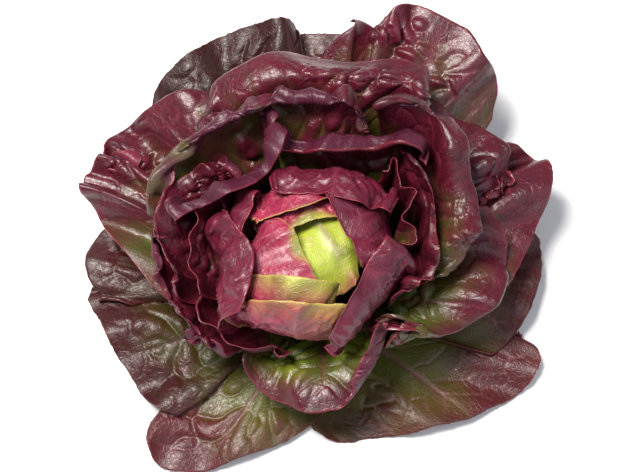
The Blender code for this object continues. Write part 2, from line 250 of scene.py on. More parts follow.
def patches(x: np.ndarray, y: np.ndarray, seed: int) -> tuple[np.ndarray, np.ndarray]:
    """Irregular patches about one unit wide, as veins divide a leaf.

    Args:
        x: Places across.
        y: Places up.
        seed: Sets the pattern.

    Returns:
        How far each place is inside its patch, 0 at the veins, and the patch's own number.
    """
    nearest = np.full(x.shape, 9.0)
    second = np.full(x.shape, 9.0)
    number = np.zeros(x.shape)
    left, low = np.floor(x), np.floor(y)
    for right_step in (-1, 0, 1):
        for up_step in (-1, 0, 1):
            column, row = left + right_step, low + up_step
            middle_x = column + 0.15 + 0.7 * scatter(column, row, seed)
            middle_y = row + 0.15 + 0.7 * scatter(column, row, seed + 7)
            distance = np.hypot(x - middle_x, y - middle_y)
            closer = distance < nearest
            second = np.where(closer, nearest, np.minimum(second, distance))
            number = np.where(closer, scatter(column, row, seed + 13), number)
            nearest = np.where(closer, distance, nearest)
    return second - nearest, number


def outwards(side: float | np.ndarray) -> np.ndarray:
    """The level direction away from the stem's axis on the given side, in degrees."""
    angle = np.radians(np.asarray(side, float))
    return np.stack([np.cos(angle), np.sin(angle), np.zeros_like(angle)], axis=-1)


def place(side: float, reach: float, height: float) -> np.ndarray:
    """The point at a side, a reach and a height."""
    return outwards(side) * reach + UP * height


def stem_radius(height: float) -> float:
    """The stem tapers from the cut to its tip."""
    share = min(max(height / STEM_HEIGHT, 0.0), 1.0)
    return STEM_RADIUS + (STEM_TIP_RADIUS - STEM_RADIUS) * share**1.3


def unit(vectors: np.ndarray) -> np.ndarray:
    """The vectors at length one."""
    return vectors / (np.linalg.norm(vectors, axis=-1)[..., None] + 1e-9)


def facing_heart(sheet: np.ndarray) -> np.ndarray:
    """Unit normals of a sheet, towards the heart."""
    return unit(np.cross(np.gradient(sheet, axis=0), np.gradient(sheet, axis=1)))


def blurred(values: np.ndarray) -> np.ndarray:
    """A sheet's values, each averaged with its neighbours."""
    padded = np.pad(values, 1, mode="edge")
    across = padded[:, :-2] + 2 * padded[:, 1:-1] + padded[:, 2:]
    return (across[:-2] + 2 * across[1:-1] + across[2:]) / 16


def triangles(rows: int, columns: int) -> np.ndarray:
    """The triangles of a sheet, facing the heart.

    Args:
        rows: Its cells from root to tip.
        columns: Its cells from side to side.

    Returns:
        The three corners of each triangle.
    """
    corner = np.arange((rows + 1) * (columns + 1)).reshape(rows + 1, columns + 1)
    a, b = corner[:-1, :-1].ravel(), corner[:-1, 1:].ravel()
    c, d = corner[1:, 1:].ravel(), corner[1:, :-1].ravel()
    return np.concatenate([np.stack([a, c, b], -1), np.stack([a, d, c], -1)])


def tree_of(sheets: list[np.ndarray]) -> BVHTree:
    """A search tree over some sheets.

    Args:
        sheets: Grids of points.

    Returns:
        The tree of all their triangles.
    """
    points, faces, count = [], [], 0
    for sheet in sheets:
        points.append(sheet.reshape(-1, 3))
        faces.append(triangles(sheet.shape[0] - 1, sheet.shape[1] - 1) + count)
        count += sheet.shape[0] * sheet.shape[1]
    return BVHTree.FromPolygons(np.concatenate(points).tolist(), np.concatenate(faces).tolist())


def halving(cells: int) -> np.ndarray:
    """Weights that put a value between each two of a row.

    Args:
        cells: The row has cells + 1 values.

    Returns:
        Weights for 2 * cells + 1 values.
    """
    weights = np.zeros((2 * cells + 1, cells + 1))
    for row in range(2 * cells + 1):
        weights[row, row // 2] += 0.5
        weights[row, (row + 1) // 2] += 0.5
    return weights


def spreading(cells: int, shares: np.ndarray) -> np.ndarray:
    """Weights that turn a row of values into a smooth curve.

    Args:
        cells: The row has cells + 1 values.
        shares: Where to read the curve, from 0 to 1.

    Returns:
        One row of weights for each share.
    """
    spot = np.clip(shares, 0, 1) * cells
    start = np.minimum(np.floor(spot), cells - 1).astype(int)
    t = spot - start
    basis = ((1 - t) ** 3, 3 * t**3 - 6 * t**2 + 4, -3 * t**3 + 3 * t**2 + 3 * t + 1, t**3)
    weights = np.zeros((len(shares), cells + 1))
    for step, share in enumerate(basis):
        column = np.clip(start + step - 1, 0, cells)
        np.add.at(weights, (np.arange(len(shares)), column), share / 6)
    return weights


def rim_of(leaf: Leaf, across: np.ndarray) -> np.ndarray:
    """The margin, from the right shoulder over the tip to the left one.

    Args:
        leaf: The leaf.
        across: -1 at the right shoulder, 0 at the tip and 1 at the left one.

    Returns:
        A point for each value of across.
    """
    tip = place(*leaf.tip)
    right = place(*leaf.right)
    left = place(*leaf.left)
    middle = (right + left) / 2
    quarter = np.abs(across) * np.pi / 2
    to_tip = np.cos(quarter) ** (2 / leaf.full)
    to_side = np.sin(quarter) ** (2 / leaf.full)
    shoulder = np.where((across < 0)[..., None], right, left)
    return middle + to_tip[..., None] * (tip - middle) + to_side[..., None] * (shoulder - middle)


def leaf_surface(leaf: Leaf, across: np.ndarray, along: np.ndarray) -> np.ndarray:
    """Lay out a leaf's middle surface.

    Args:
        leaf: The leaf's place and bends.
        across: -1 at its right side to 1 at its left one, for each point.
        along: 0 at its root to 1 at its margin.

    Returns:
        The points.
    """
    rim = rim_of(leaf, across)
    start = stem_radius(leaf.root) + BLADE
    spread = np.degrees(ROOT_HALF_WIDTH / start)
    root = outwards(leaf.side + spread * across) * start + UP * leaf.root

    # Each line from root to rim is a Bezier curve that leaves outwards and ends on the lip.
    chord = np.linalg.norm(rim - root, axis=-1)[..., None]
    away = rim - place(leaf.side, start, 0.0)
    away[..., 2] = 0.0
    behind = np.minimum(away @ outwards(leaf.side), 0.0)
    away -= behind[..., None] * outwards(leaf.side)
    grow = outwards(leaf.side) * 0.6 + away / (np.linalg.norm(away, axis=-1)[..., None] + 8.0)
    grow /= np.linalg.norm(grow, axis=-1)[..., None]
    halfway = (leaf.side + leaf.tip[0]) / 2 if abs(leaf.side - leaf.tip[0]) < 180 else leaf.side
    hang = outwards(halfway) + 1.2 * grow
    hang /= np.linalg.norm(hang, axis=-1)[..., None]
    rise = math.radians(leaf.rise)
    lip = math.radians(leaf.lip)
    reach_back = RIM_PULL + FOLD_PULL * float(smooth(60, 130, leaf.lip))
    first = root + ROOT_PULL * chord * (math.cos(rise) * grow + math.sin(rise) * UP)
    second = rim - reach_back * chord * (math.cos(lip) * hang + math.sin(lip) * UP)
    t = along[..., None]
    points = (1 - t) ** 3 * root + 3 * (1 - t) ** 2 * t * first + 3 * (1 - t) * t**2 * second + t**3 * rim

    # Waves run out to the margin and die away inwards.
    margin = np.maximum(smooth(0.3, 1.0, along), smooth(0.4, 1.0, np.abs(across)) * smooth(0.1, 0.6, along))
    wander = leaf.phase + WANDER * np.sin(4 * along + 2 * leaf.phase)
    wave = np.sin(leaf.waves * np.pi * across + wander)
    wave += SMALL_WAVE * margin * np.sin(2.3 * leaf.waves * np.pi * across + 2 * wander)
    return points + (leaf.height * margin * wave)[..., None] * facing_heart(points)


class Nesting:
    """Moves each leaf away from the heart until it clears the leaves inside it."""

    def __init__(self) -> None:
        """Start with no leaves."""
        self.cages: list[np.ndarray] = []

    def shortfalls(self, sheet: np.ndarray, inner_tree: BVHTree, inner_points: np.ndarray) -> np.ndarray:
        """How much farther from the heart each point of a cage must lie.

        Args:
            sheet: The cage's points.
            inner_tree: A search tree over the leaves inside it.
            inner_points: Points of those leaves, which must not come through the sheet.

        Returns:
            A length for each point of the cage.
        """
        weights = np.kron(halving(ROWS), halving(COLUMNS))
        middle = Vector(HEART)
        missing = np.zeros(len(weights))
        for index, sample in enumerate(weights @ sheet.reshape(-1, 3)):
            ray = (Vector(sample) - middle).normalized()
            hit, normal, _, _ = inner_tree.ray_cast(middle + ray * FAR, -ray)
            if hit is not None:
                distance = (hit - middle).length + CLEARANCE / max(abs(normal.dot(ray)), STEEPEST)
                missing[index] = max(0.0, distance - (Vector(sample) - middle).length)
        short = (weights.T @ missing) / np.maximum(weights.T @ (missing > 0), 0.6)
        own_tree = tree_of([sheet])
        faces = triangles(ROWS, COLUMNS)
        for point in inner_points:
            ray = (Vector(point) - middle).normalized()
            hit, normal, index, distance = own_tree.ray_cast(middle, ray)
            if hit is not None:
                need = CLEARANCE / max(abs(normal.dot(ray)), STEEPEST)
                need += (Vector(point) - middle).length - distance
                if need > 0:
                    short[faces[index]] = np.maximum(short[faces[index]], need)
        return short.reshape(sheet.shape[:2])

    def add(self, leaf: Leaf) -> np.ndarray:
        """Nest one more leaf round those before it.

        Args:
            leaf: The leaf to add.

        Returns:
            How far each point of its cage moved.
        """
        across, along = np.meshgrid(np.linspace(-1, 1, COLUMNS + 1), np.linspace(0, 1, ROWS + 1))
        cage = leaf_surface(leaf, across, along)
        sheet = cage.copy()
        sheet[..., 2] = np.maximum(sheet[..., 2], LOWEST)
        if self.cages:
            inner_tree = tree_of(self.cages)
            weights = np.kron(halving(ROWS), halving(COLUMNS))
            inner_points = np.concatenate([weights @ other.reshape(-1, 3) for other in self.cages])
            for turn in range(EASE_ROUNDS):
                short = self.shortfalls(sheet, inner_tree, inner_points)
                if not short.any():
                    break
                if turn < EASE_ROUNDS // 2:
                    short = np.maximum(short, blurred(blurred(short)) * SPREAD)
                away = sheet - np.array(HEART)
                sheet += away / np.linalg.norm(away, axis=-1)[..., None] * short[..., None]
                sheet[..., 2] = np.maximum(sheet[..., 2], LOWEST)
        self.cages.append(sheet)
        return sheet - cage


HEART_HABIT = Habit(
    blister=1.6, blister_size=12, ruffle=1.2, ruffle_length=26, roll=3, crumple=2.4, teeth=0.6,
    green_until=0.10, red_from=0.42, cell=0.75, rib=0.8, wrinkle=2.4, lobes=1.8, calm=8,
)
WRAPPING_HABIT = Habit(
    blister=2.3, blister_size=14, ruffle=1.6, ruffle_length=32, roll=3, crumple=2.8, teeth=0.5,
    green_until=0.12, red_from=0.45, cell=0.85, rib=1.2, wrinkle=2.3, lobes=2.4, calm=10,
)
INNER_HABIT = Habit(
    blister=3.2, blister_size=15, ruffle=1.8, ruffle_length=40, roll=5, crumple=2.8, teeth=0.4,
    green_until=0.30, red_from=0.70, cell=1.0, rib=1.6, wrinkle=1.6, lobes=3.5, calm=14,
)
STANDING_HABIT = Habit(
    blister=5.0, blister_size=20, ruffle=2.4, ruffle_length=58, roll=8, crumple=2.8, teeth=0.4,
    green_until=0.36, red_from=0.80, cell=1.25, rib=2.2, wrinkle=0.9, lobes=6.0, calm=22,
)
LOW_HABIT = Habit(
    blister=2.8, blister_size=22, ruffle=1.6, ruffle_length=52, roll=4, crumple=2.8, teeth=0.9,
    green_until=0.30, red_from=0.85, cell=1.35, rib=2.0, wrinkle=0.45, lobes=6.0,
)

# Leaves that grow a little otherwise than the rest of their layer; the last four also get painted shade.
OWN_HABITS = {
    "heart_leaf_core": replace(HEART_HABIT, crumple=3.0, wrinkle=2.6, pale_reach=60.0),
    "heart_leaf_middle": replace(HEART_HABIT, crumple=3.4, wrinkle=3.2, pale_reach=34.0),
    "heart_leaf_back": replace(HEART_HABIT, pale_reach=18.0),
    "heart_leaf_left": replace(HEART_HABIT, pale_reach=17.0),
    "heart_leaf_back_outer": replace(HEART_HABIT, pale_reach=20.0),
    "heart_leaf_front_inner": replace(HEART_HABIT, crumple=3.0, pale_reach=48.0),
    "heart_leaf_front": replace(HEART_HABIT, crumple=3.0, pale_reach=56.0),
    "front_leaf": replace(
        INNER_HABIT, crumple=3.2, wrinkle=3.0, green_until=0.50, red_from=0.90, pale_reach=82.0, ribbon=15.0,
    ),
    "right_arch_leaf": replace(STANDING_HABIT, roll=5.0),
    "back_low_left_leaf": replace(LOW_HABIT, shade=0.65),
    "back_low_leaf": replace(LOW_HABIT, shade=0.35),
    "left_low_leaf": replace(LOW_HABIT, shade=0.45),
    "front_left_side_leaf": replace(LOW_HABIT, shade=0.45),
}


class Sheet:
    """One leaf as a fine sheet of points, with what each point needs for its colours."""

    def __init__(self, leaf: Leaf, habit: Habit, shift: np.ndarray, seed: int) -> None:
        """Lay out the leaf's sheet.

        Args:
            leaf: The leaf's place and bends.
            habit: The sizes of its surface detail.
            shift: How far nesting moved the leaf's cage.
            seed: Sets this leaf's own pattern.
        """
        self.leaf, self.habit, self.seed = leaf, habit, seed
        tip, right, left = place(*leaf.tip), place(*leaf.right), place(*leaf.left)
        length = 1.15 * float(np.linalg.norm(tip - UP * leaf.root))
        width = 1.25 * float(np.linalg.norm(tip - right) + np.linalg.norm(tip - left))
        self.rows = int(min(MOST_ROWS, max(FEWEST_CELLS, length / habit.cell)))
        self.columns = int(min(MOST_COLUMNS, max(FEWEST_CELLS, width / habit.cell)))
        side_shares = np.linspace(0, 1, self.columns + 1)
        tip_shares = np.linspace(0, 1, self.rows + 1)
        self.across, self.along = np.meshgrid(2 * side_shares - 1, tip_shares)
        base = leaf_surface(leaf, self.across, self.along)
        over, up = spreading(COLUMNS, side_shares), spreading(ROWS, tip_shares)
        self.points = base + np.einsum("ri,sj,ijk->rsk", up, over, shift)
        self.measure()

    def measure(self) -> None:
        """Work out millimetres along and across the leaf, and from its margin."""
        steps = np.linalg.norm(np.diff(self.points, axis=0), axis=-1)
        self.up = np.concatenate([np.zeros((1, self.columns + 1)), np.cumsum(steps, axis=0)])
        steps = np.linalg.norm(np.diff(self.points, axis=1), axis=-1)
        over = np.concatenate([np.zeros((self.rows + 1, 1)), np.cumsum(steps, axis=1)], axis=1)
        self.over = over - over[:, self.columns // 2][:, None]
        to_tip = self.up[-1][None, :] - self.up
        to_side = np.minimum(over, over[:, -1][:, None] - over)
        self.from_margin = np.minimum(to_tip, to_side)
        self.length = float(self.up[-1, self.columns // 2])

    def veins(self) -> tuple[np.ndarray, np.ndarray]:
        """The leaf's large veins and the patches between them.

        Returns:
            How much of a large vein each point is, and how far inside a patch it is.
        """
        size = self.habit.blister_size
        side = np.abs(self.over)
        bend = 7.0 * hills(self.over / 34, self.up / 34, self.seed)
        slanted = self.up - 0.75 * side + bend
        which = np.where(self.over < 0, 50, 0)
        wander = 0.4 * hills(self.over / 13, self.up / 13, self.seed + 3)
        inside, number = patches(side / size + which + wander, slanted / (size * 0.8) + wander, self.seed)
        self.patch_number = number
        midrib_width = 3.0 * (1 - 0.85 * smooth(0.0, self.length, self.up)) + 0.3
        midrib = np.exp(-((self.over / midrib_width) ** 2))
        midrib *= 1 - 0.6 * smooth(0.55, 1.0, self.up / self.length)
        lateral = 1.0 - smooth(0.0, 0.10, inside)
        return np.maximum(midrib, 0.7 * lateral * smooth(2.0, 14.0, self.from_margin)), inside

    def crease(self) -> None:
        """Fold, blister, ruffle and tooth the sheet, and roll its margin."""
        habit, seed = self.habit, self.seed
        vein, inside = self.veins()
        lean = 0.3 * self.up / 30
        fine, fine_number = patches(self.over / SMALL_BLISTER + lean, self.up / SMALL_BLISTER, seed + 21)
        share = self.up / self.length
        body = smooth(0.10, 0.35, share)
        inland = smooth(2.0, habit.calm, self.from_margin)

        # Blisters crowd together in some places and are missing in others.
        wide_over, wide_up = self.over / CROWD_WIDTH, self.up / CROWD_WIDTH
        crowd = 0.1 + 0.9 * smooth(-0.2, 0.4, hills(wide_over, wide_up, seed + 4))
        swell = np.clip(inside / 0.8, 0, 1)
        dome = (1 - (1 - swell) ** 2) * (0.35 + 0.9 * self.patch_number)
        self.swell = dome * crowd - 0.5
        off_rib = smooth(0.0, 12.0, np.abs(self.over))
        rise = habit.blister * body * inland * crowd * dome * (0.3 + 0.7 * off_rib)
        small = (1 - (1 - np.clip(fine / 0.7, 0, 1)) ** 2) * (0.3 + 0.7 * fine_number)
        rise += 0.12 * habit.blister * small * body * (0.35 + 0.65 * inland) * crowd
        self.relief = np.clip(rise / (0.9 * habit.blister) - 0.1, 0, 1)
        rise += habit.crumple * body * hills(wide_over, wide_up, seed + 5)
        rise += 0.30 * habit.crumple * body * hills(self.over / FOLD_WIDTH, self.up / FOLD_WIDTH, seed + 6)

        # Sharp creases wander over the blade.
        bend = 9.0 * hills(self.over / 24, self.up / 24, seed + 31)
        slanted = self.up - 0.4 * np.abs(self.over) + bend
        crease = np.abs(hills((self.over + bend) / CREASE_WIDTH, slanted / CREASE_LENGTH, seed + 32))
        rise += habit.wrinkle * body * (0.45 + 0.55 * crowd) * (np.sqrt(crease + 0.02) - 0.6)
        self.relief = 0.5 * self.relief + 0.5 * smooth(0.05, 0.45, crease)

        # The margin is longer than the leaf has room for, so it goes up and down.
        near_margin = np.exp(-self.from_margin / MARGIN_DEPTH)
        round_margin = (self.across + 1) * (self.over[:, -1] - self.over[:, 0])[self.rows * 3 // 4] / 2
        turns = 2 * np.pi * round_margin / habit.ruffle_length
        drift = 3.0 * hills(round_margin / 70, share * 2, seed + 8)
        ruffle = np.sin(turns + drift) * (0.65 + 0.35 * hills(round_margin / 60, share, seed + 9))
        ruffle += 0.22 * np.exp(-self.from_margin / 7) * np.sin(2.3 * turns + 2 * drift)
        rise += habit.ruffle * near_margin * smooth(0.1, 0.35, share) * ruffle
        rise -= 0.7 * vein * body * inland
        self.vein = vein
        self.points = self.points + rise[..., None] * facing_heart(self.points)

        # Teeth and shallow lobes are cut into the margin.
        down = unit(np.gradient(self.points, axis=0))
        edge = np.exp(-self.from_margin / 4.0) * smooth(0.3, 0.6, self.along)
        tooth = np.abs(hills(round_margin / TOOTH_WIDTH, 0 * share, seed + 11))
        lobe = 0.35 + 0.5 * hills(round_margin / LOBE_WIDTH, 0 * share, seed + 12)
        lobe += 0.22 * hills(round_margin / NOTCH_WIDTH, 0 * share, seed + 13)
        lobe_edge = np.exp(-self.from_margin / 20.0) * smooth(0.35, 0.7, self.along)
        self.points -= (habit.teeth * edge * tooth + habit.lobes * lobe_edge * lobe)[..., None] * down
        self.roll_margin(round_margin)

    def roll_margin(self, round_margin: np.ndarray) -> None:
        """Curl the outermost blade over along an arc, more in some places than in others.

        Args:
            round_margin: How far round the margin each point is, in millimetres.
        """
        habit, share = self.habit, self.up / self.length
        grown = smooth(0.35, 0.6, share)
        width = habit.roll * smooth(-0.1, 0.8, hills(round_margin / 40, 0 * share, self.seed + 10)) * grown
        way = habit.roll_way
        if habit.ribbon:
            width = habit.ribbon * smooth(0.05, 0.45, self.across) * smooth(0.2, 0.45, share)
            way = 1.0
        to_edge = blurred(blurred(self.from_margin))
        up, over = np.gradient(self.points, axis=0), np.gradient(self.points, axis=1)
        slope_up, slope_over = np.gradient(to_edge, axis=0), np.gradient(to_edge, axis=1)
        uu, oo, uo = (up * up).sum(-1), (over * over).sum(-1), (up * over).sum(-1)
        spread = uu * oo - uo * uo + 1e-9
        inwards = up * ((oo * slope_up - uo * slope_over) / spread)[..., None]
        inwards += over * ((uu * slope_over - uo * slope_up) / spread)[..., None]
        rolled = np.maximum(width - self.from_margin, 0.0)
        radius = np.maximum(0.36 * width, TIGHTEST_ROLL)
        angle = rolled / radius
        outward_shift = radius * np.sin(angle) - rolled
        lift = way * radius * (1 - np.cos(angle))
        normal = facing_heart(self.points)
        self.points = self.points - outward_shift[..., None] * unit(inwards) + lift[..., None] * normal

    def clear(self, obstacle: BVHTree | None) -> None:
        """Push the sheet off the finished leaves inside it, and off the table.

        Args:
            obstacle: The finished leaves, or nothing to keep it off the table only.
        """
        if obstacle is not None:
            middle = Vector(HEART)
            short = np.zeros(self.points.shape[:2])
            for row in range(1, self.rows + 1):
                for column in range(self.columns + 1):
                    offset = Vector(self.points[row, column]) - middle
                    ray = offset.normalized()
                    hit, normal, _, _ = obstacle.ray_cast(middle + ray * FAR, -ray)
                    if hit is not None:
                        need = (hit - middle).length - offset.length
                        need += FINE_CLEARANCE / max(abs(normal.dot(ray)), STEEPEST)
                        short[row, column] = max(0.0, need)
            eased = short
            for _ in range(4):
                eased = np.maximum(short, blurred(eased))
            away = unit(self.points - np.array(HEART))
            self.points = self.points + away * blurred(eased)[..., None]
        self.points[..., 2] = np.maximum(self.points[..., 2], TABLE_GAP + self.thickness())

    def thickness(self) -> np.ndarray:
        """The leaf's thickness: a thin blade with a thick midrib at its root."""
        share = np.clip(self.up / self.length, 0, 1)
        width = 5.5 * (1 - 0.8 * share) + 0.5
        rib = np.exp(-((self.over / width) ** 2)) * (1 - smooth(0.0, 0.8, share))
        return LEAF_THICKNESS + self.habit.rib * rib

    def back(self) -> np.ndarray:
        """A coarse copy of the sheet's back, which the next leaves are kept off."""
        back = self.points - facing_heart(self.points) * self.thickness()[..., None]
        rows = np.unique(np.append(np.arange(0, self.rows + 1, 2), self.rows))
        columns = np.unique(np.append(np.arange(0, self.columns + 1, 2), self.columns))
        return back[np.ix_(rows, columns)]

    def pigment(self) -> dict[str, np.ndarray]:
        """The colour layers of each point, from 0 to 1."""
        share = self.up / self.length
        seed = self.seed
        cloud = hills(self.over / 30, self.up / 30, seed + 15)
        cloud += 0.5 * hills(self.over / 11, self.up / 11, seed + 16)
        blush = share + 0.12 * cloud + 0.12 * self.swell + 0.16 * (self.relief - 0.5)
        red = smooth(self.habit.green_until, self.habit.red_from, blush)
        red = np.maximum(red, np.exp(-self.from_margin / 5.0) * smooth(0.2, 0.4, share))
        from_middle = np.hypot(self.points[..., 0] + 3.0, self.points[..., 1] - 2.0) + 5.0 * cloud
        pale = self.habit.pale_reach
        glow = 1 - smooth(0.5 * pale, pale + 0.01, from_middle)
        if self.habit.ribbon:
            glow = glow * smooth(8.0, 24.0, self.from_margin + 4.0 * cloud)
        return {
            "red": red,
            "vein": self.vein,
            # the thin line along the margin, which the finishes paint partly as a highlight
            "rim": np.exp(-((self.from_margin / 1.1) ** 2)) * smooth(0.1, 0.3, share),
            "glow": glow,
            "cloud": np.clip(0.5 + 0.35 * cloud, 0, 1),
            "relief": np.clip(self.relief, 0, 1),
            # painted shade, the same over the whole leaf
            "shade": np.full(share.shape, self.habit.shade),
        }


def deselect() -> None:
    """Leave nothing selected."""
    for thing in bpy.context.selected_objects:
        thing.select_set(False)


def make_leaf(sheet: Sheet, inner: bpy.types.Material, under: bpy.types.Material) -> bpy.types.Object:
    """Make a leaf's mesh from a grid laid over its sheet, and give it its thickness.

    Args:
        sheet: The leaf's finished sheet.
        inner: The finish of the face towards the heart.
        under: The finish of its back.

    Returns:
        The leaf.
    """
    deselect()
    bpy.ops.mesh.primitive_grid_add(x_subdivisions=sheet.columns, y_subdivisions=sheet.rows, size=2.0)
    piece = bpy.context.object
    piece.name = sheet.leaf.name + "_skin"
    mesh = piece.data
    mesh.name = piece.name
    flat = np.zeros(len(mesh.vertices) * 3, np.float32)
    mesh.vertices.foreach_get("co", flat)
    flat = flat.reshape(-1, 3)

    # The grid's x runs from the left shoulder to the right one, so that it faces the heart.
    column = np.rint((1 - flat[:, 0]) / 2 * sheet.columns).astype(int)
    row = np.rint((flat[:, 1] + 1) / 2 * sheet.rows).astype(int)
    points = sheet.points[row, column]
    mesh.vertices.foreach_set("co", (points * MM).astype(np.float32).ravel())
    for name, values in sheet.pigment().items():
        layer = mesh.attributes.new(name, "FLOAT", "POINT")
        layer.data.foreach_set("value", values[row, column].astype(np.float32))
    corners = np.zeros(len(mesh.loops), np.int32)
    mesh.loops.foreach_get("vertex_index", corners)
    flat_map = np.stack([sheet.over[row, column], sheet.up[row, column]], -1) * MM
    mesh.uv_layers.active.data.foreach_set("uv", flat_map[corners].astype(np.float32).ravel())
    mesh.update()

    thickness = sheet.thickness()[row, column]
    thickest = float(thickness.max())
    group = piece.vertex_groups.new(name="thickness")
    for level in np.unique(np.round(thickness / thickest, 2)):
        members = np.nonzero(np.round(thickness / thickest, 2) == level)[0]
        group.add(members.tolist(), float(level), "REPLACE")
    wall = piece.modifiers.new("blade", "SOLIDIFY")
    wall.thickness = thickest * MM
    wall.offset = -1.0
    wall.vertex_group = group.name
    wall.thickness_vertex_group = 0.0
    wall.use_even_offset = False
    wall.material_offset = 1
    wall.material_offset_rim = 0
    mesh.materials.append(inner)
    mesh.materials.append(under)
    bpy.ops.object.modifier_apply(modifier=wall.name)
    piece.vertex_groups.remove(piece.vertex_groups["thickness"])
    bpy.ops.object.shade_smooth()
    return piece


def linear(hex_colour: str) -> tuple[float, float, float, float]:
    """An sRGB hex colour as linear light."""
    channels = [int(hex_colour[start:start + 2], 16) / 255 for start in (1, 3, 5)]
    light = [c / 12.92 if c <= 0.04045 else ((c + 0.055) / 1.055) ** 2.4 for c in channels]
    return (*light, 1.0)


def add_node(
    tree: bpy.types.NodeTree, kind: str, inputs: dict | None = None, **settings: object
) -> bpy.types.Node:
    """Add a node.

    Args:
        tree: The node tree to add it to.
        kind: The node's type name, without ShaderNode.
        inputs: Values or output sockets for its inputs, by name or number.
        settings: Its own settings.

    Returns:
        The node.
    """
    node = tree.nodes.new("ShaderNode" + kind)
    for key, value in settings.items():
        setattr(node, key, value)
    for key, value in (inputs or {}).items():
        if isinstance(value, bpy.types.NodeSocket):
            tree.links.new(value, node.inputs[key])
        else:
            node.inputs[key].default_value = value
    return node


class Face(Enum):
    """Which side of a leaf a finish is for: veins are sunken on the inner one and stand out below."""

    INNER = "inner"
    UNDER = "under"


@dataclass(frozen=True)
class LeafFinish:
    """The waxy skin of a lettuce leaf: green flesh under red pigment, with paler veins."""

    name: str
    face: Face
    green: str  # the flesh where no red pigment covers it
    red: str
    deep: str  # the darker red in clouds, which the painted shade in hollows also goes towards
    vein: str
    # the thin line along the margin: redder skin, and a painted highlight where the edge catches the light
    rim: str
    glow: str  # the pale zone near the heart's middle
    roughness: float
    coat: float  # how much wax lies on it
    vein_strength: float = 0.45
    bump_mm: float = 0.35
    light_through: float = 0.12

    def material(self) -> bpy.types.Material:
        """Build the finish as a material.

        Returns:
            The material, which reads the leaf's attributes and its map in metres.
        """
        material = bpy.data.materials.new(self.name)
        material.use_nodes = True
        tree = material.node_tree
        tree.nodes.clear()
        layers = {}
        for layer in ("red", "vein", "rim", "glow", "cloud", "relief", "shade"):
            node = add_node(tree, "Attribute", attribute_name=layer, attribute_type="GEOMETRY")
            layers[layer] = node.outputs["Fac"]
        flat_map = add_node(tree, "UVMap").outputs["UV"]

        # A net of small veins 3.5 mm apart, and a finer one 1.2 mm apart.
        warp = add_node(tree, "TexNoise", {"Vector": flat_map, "Scale": 220.0, "Detail": 2.0})
        bent = {"Fac": 0.0015, "Color1": flat_map, "Color2": warp.outputs["Color"]}
        warped = add_node(tree, "MixRGB", bent, blend_type="ADD").outputs[0]
        net_line = self.lines(tree, warped, 280.0, 0.12)
        fine_line = self.lines(tree, warped, 800.0, 0.15)
        cloudy = {"Vector": flat_map, "Scale": 90.0, "Detail": 5.0, "Roughness": 0.6}
        mottle = add_node(tree, "TexNoise", cloudy).outputs["Fac"]

        shader = add_node(tree, "BsdfPrincipled", {
            "Base Color": self.colour(tree, layers, net_line, mottle),
            "Roughness": self.gloss(tree, mottle),
            "IOR": 1.45,
            "Specular IOR Level": 0.4,
            "Coat Weight": self.coat,
            "Coat Roughness": 0.3,
            "Subsurface Weight": self.light_through,
            "Subsurface Radius": (1.0, 0.6, 0.3),
            "Subsurface Scale": 0.001,
            "Normal": self.bumps(tree, net_line, fine_line, mottle),
        })
        output = add_node(tree, "OutputMaterial")
        tree.links.new(shader.outputs[0], output.inputs["Surface"])
        return material

    @staticmethod
    def lines(
        tree: bpy.types.NodeTree, spot: bpy.types.NodeSocket, scale: float, width: float
    ) -> bpy.types.NodeSocket:
        """Draw a net of lines.

        Args:
            tree: The node tree.
            spot: Where each place lies on the leaf.
            scale: Meshes of the net in a metre.
            width: Width of a line, as a share of a mesh.

        Returns:
            1 on a line and 0 between.
        """
        net = add_node(tree, "TexVoronoi", {"Vector": spot, "Scale": scale}, feature="DISTANCE_TO_EDGE")
        near = net.outputs["Distance"]
        fade = {"Value": near, "From Min": 0.0, "From Max": width, "To Min": 1.0, "To Max": 0.0}
        return add_node(tree, "MapRange", fade).outputs[0]

    @staticmethod
    def scaled(tree: bpy.types.NodeTree, value: bpy.types.NodeSocket, by: float) -> bpy.types.NodeSocket:
        """A value times a number."""
        return add_node(tree, "Math", {0: value, 1: by}, operation="MULTIPLY").outputs[0]

    def colour(
        self,
        tree: bpy.types.NodeTree,
        layers: dict[str, bpy.types.NodeSocket],
        net_line: bpy.types.NodeSocket,
        mottle: bpy.types.NodeSocket,
    ) -> bpy.types.NodeSocket:
        """Lay the leaf's colours over one another.

        Args:
            tree: The node tree.
            layers: The leaf's attributes, by name.
            net_line: The net of small veins.
            mottle: Clouds a few millimetres wide.

        Returns:
            The colour.
        """
        def blend(below: object, above: object, amount: object) -> bpy.types.NodeSocket:
            """Lay one colour over another."""
            return add_node(tree, "MixRGB", {"Fac": amount, "Color1": below, "Color2": above}).outputs[0]

        clouds = add_node(tree, "MapRange", {"Value": mottle, "From Min": 0.35, "From Max": 0.68}).outputs[0]
        dark = add_node(tree, "Math", {0: clouds, 1: layers["cloud"]}, operation="MULTIPLY").outputs[0]
        body = blend(linear(self.red), linear(self.deep), dark)
        body = blend(linear(self.green), body, layers["red"])
        # The pale zone is green in the hollows and pale on the ridges: painted shade and painted highlight
        # over its folds.
        pale = blend(linear(self.green), linear(self.glow), layers["relief"])
        body = blend(body, pale, layers["glow"])
        body = blend(body, linear(self.vein), self.scaled(tree, layers["vein"], self.vein_strength))
        body = blend(body, linear(self.vein), self.scaled(tree, net_line, 0.28 * self.vein_strength))
        # The margin line is partly the skin's own colour and partly a painted highlight on the edge.
        body = blend(body, linear(self.rim), self.scaled(tree, layers["rim"], 0.6))

        # Painted shade, since less light reaches the hollows: the colour goes towards the deep red there, and
        # a leaf that others cover goes darker and duller all over.
        depth = {"Value": layers["relief"], "To Min": HOLLOW_PAINTED_SHADE, "To Max": 0.0}
        body = blend(body, linear(self.deep), add_node(tree, "MapRange", depth).outputs[0])
        return blend(body, linear(COVERED_LEAF_SHADE), layers["shade"])

